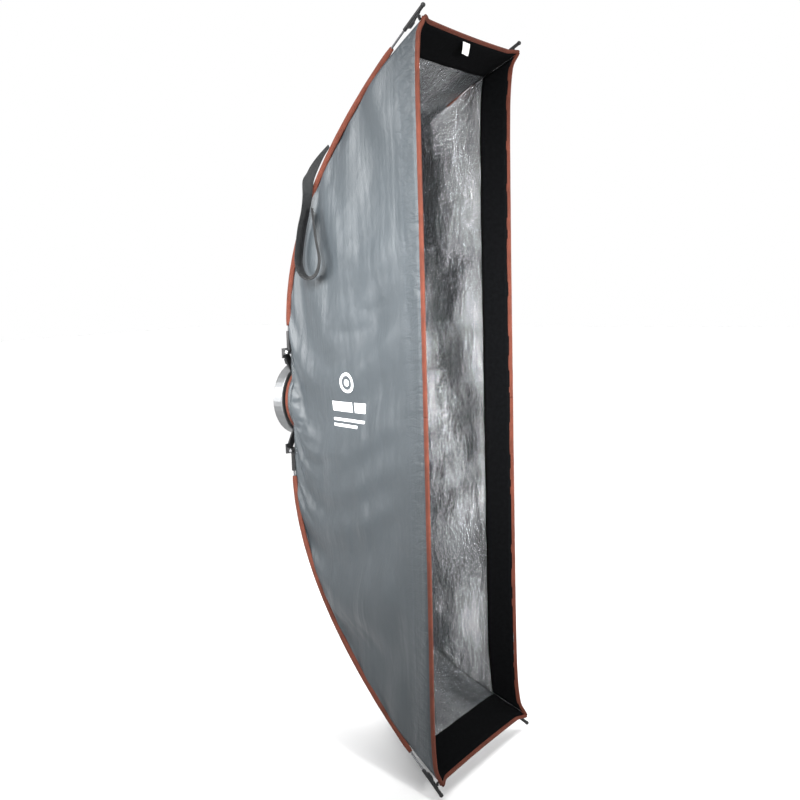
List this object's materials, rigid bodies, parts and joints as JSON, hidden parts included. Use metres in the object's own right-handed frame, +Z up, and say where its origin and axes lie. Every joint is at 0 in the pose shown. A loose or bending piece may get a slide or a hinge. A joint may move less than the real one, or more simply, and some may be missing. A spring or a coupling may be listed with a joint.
{
  "type": "studio softbox",
  "caption": "Tall folding strip softbox: a deep open-fronted cloth box on four sprung rods, hinged round a turning bayonet speed ring.",
  "frame": {"origin": "centre of the speed ring's rear face, where the softbox meets the lamp", "axes": "+Z up along the long side, +Y back towards the lamp, -Y towards the open front, +X across the short side"},
  "size_m": [0.3124, 0.4157, 1.2448],
  "materials": {
    "outer_cloth": "blue-grey satin nylon, silver-coated inside",
    "black_cloth": "matt black lip lining",
    "brown_binding": "reddish-brown ribbed binding tape",
    "brushed_aluminium": "turned, light",
    "black_metal": "black, satin",
    "black_plastic": "moulded nylon, satin",
    "spring_steel": "drawn rod",
    "steel": "bright zinc plate",
    "webbing": "flat woven black webbing",
    "label_cloth": "white woven label"
  },
  "bodies": {
    "lamp_insert": {"mount_insert": "brushed_aluminium"},
    "head": {"speed_ring": "brushed_aluminium", "carrier_ring": "black_metal", "rear_collar": "outer_cloth", "collar_binding": "brown_binding", "rear_panel": "outer_cloth", "left_panel": "outer_cloth", "right_panel": "outer_cloth", "left_lip": "black_cloth", "right_lip": "black_cloth", "left_edge_binding": "brown_binding", "right_edge_binding": "brown_binding", "hinge_arm_top_left": "black_metal", "hinge_pin_top_left": "steel", "carrier_screw_top_left": "steel", "hinge_arm_top_right": "black_metal", "hinge_pin_top_right": "steel", "carrier_screw_top_right": "steel", "hinge_arm_bottom_left": "black_metal", "hinge_pin_bottom_left": "steel", "carrier_screw_bottom_left": "steel", "hinge_arm_bottom_right": "black_metal", "hinge_pin_bottom_right": "steel", "carrier_screw_bottom_right": "steel"},
    "knob": {"lock_knob": "black_plastic"},
    "arm_tl": {"rod_socket_top_left": "black_metal", "rod_top_left": "spring_steel", "rod_sleeve_top_left": "brown_binding", "corner_tab_top_left": "webbing", "top_panel": "outer_cloth", "top_lip": "black_cloth", "top_edge_binding": "brown_binding", "care_label": "label_cloth"},
    "clip_tl": {"tip_clip_top_left": "black_plastic"},
    "arm_tr": {"rod_socket_top_right": "black_metal", "rod_top_right": "spring_steel", "rod_sleeve_top_right": "brown_binding", "corner_tab_top_right": "webbing"},
    "clip_tr": {"tip_clip_top_right": "black_plastic"},
    "arm_bl": {"rod_socket_bottom_left": "black_metal", "rod_bottom_left": "spring_steel", "rod_sleeve_bottom_left": "brown_binding", "corner_tab_bottom_left": "webbing", "bottom_panel": "outer_cloth", "bottom_lip": "black_cloth", "bottom_edge_binding": "brown_binding"},
    "clip_bl": {"tip_clip_bottom_left": "black_plastic"},
    "arm_br": {"rod_socket_bottom_right": "black_metal", "rod_bottom_right": "spring_steel", "rod_sleeve_bottom_right": "brown_binding", "corner_tab_bottom_right": "webbing"},
    "clip_br": {"tip_clip_bottom_right": "black_plastic"},
    "strap": {"hanging_strap": "webbing"}
  },
  "joints": [
    {"name": "ring_turn", "type": "hinge", "parent": "lamp_insert", "child": "head", "pos_m": [0, 0, 0], "axis": [0, 1, 0], "continuous": true},
    {"name": "knob_turn", "type": "hinge", "parent": "head", "child": "knob", "pos_m": [-0.0171, -0.008, 0.04698], "axis": [-0.342, 0, 0.9397], "range_deg": [0, 360]},
    {"name": "fold_tl", "type": "hinge", "parent": "head", "child": "arm_tl", "pos_m": [-0.056, -0.034, 0.092], "axis": [1, 0, 0], "range_deg": [0, 55], "deforming": ["left_panel", "right_panel", "left_lip", "right_lip", "left_edge_binding", "right_edge_binding"]},
    {"name": "fold_tr", "type": "hinge", "parent": "head", "child": "arm_tr", "pos_m": [0.056, -0.034, 0.092], "axis": [1, 0, 0], "range_deg": [0, 55]},
    {"name": "fold_bl", "type": "hinge", "parent": "head", "child": "arm_bl", "pos_m": [-0.056, -0.034, -0.092], "axis": [-1, 0, 0], "range_deg": [0, 55]},
    {"name": "fold_br", "type": "hinge", "parent": "head", "child": "arm_br", "pos_m": [0.056, -0.034, -0.092], "axis": [-1, 0, 0], "range_deg": [0, 55]},
    {"name": "clip_pull_tl", "type": "slide", "parent": "arm_tl", "child": "clip_tl", "axis": [-0.2113, -0.813, 0.5426], "range_m": [0, 0.01], "stiffness_N_per_m": 400},
    {"name": "clip_pull_tr", "type": "slide", "parent": "arm_tr", "child": "clip_tr", "axis": [0.2113, -0.813, 0.5426], "range_m": [0, 0.01], "stiffness_N_per_m": 400},
    {"name": "clip_pull_bl", "type": "slide", "parent": "arm_bl", "child": "clip_bl", "axis": [-0.2113, -0.813, -0.5426], "range_m": [0, 0.01], "stiffness_N_per_m": 400},
    {"name": "clip_pull_br", "type": "slide", "parent": "arm_br", "child": "clip_br", "axis": [0.2113, -0.813, -0.5426], "range_m": [0, 0.01], "stiffness_N_per_m": 400},
    {"name": "strap_swing", "type": "hinge", "parent": "arm_tl", "child": "strap", "pos_m": [-0.0875, -0.1549, 0.4126], "axis": [0.1675, 0.6434, -0.7469], "range_deg": [0, 30]}
  ],
  "couplings": [
    {"joint": "fold_tr", "follows": "fold_tl", "ratio": 1},
    {"joint": "fold_bl", "follows": "fold_tl", "ratio": 1},
    {"joint": "fold_br", "follows": "fold_tl", "ratio": 1}
  ]
}
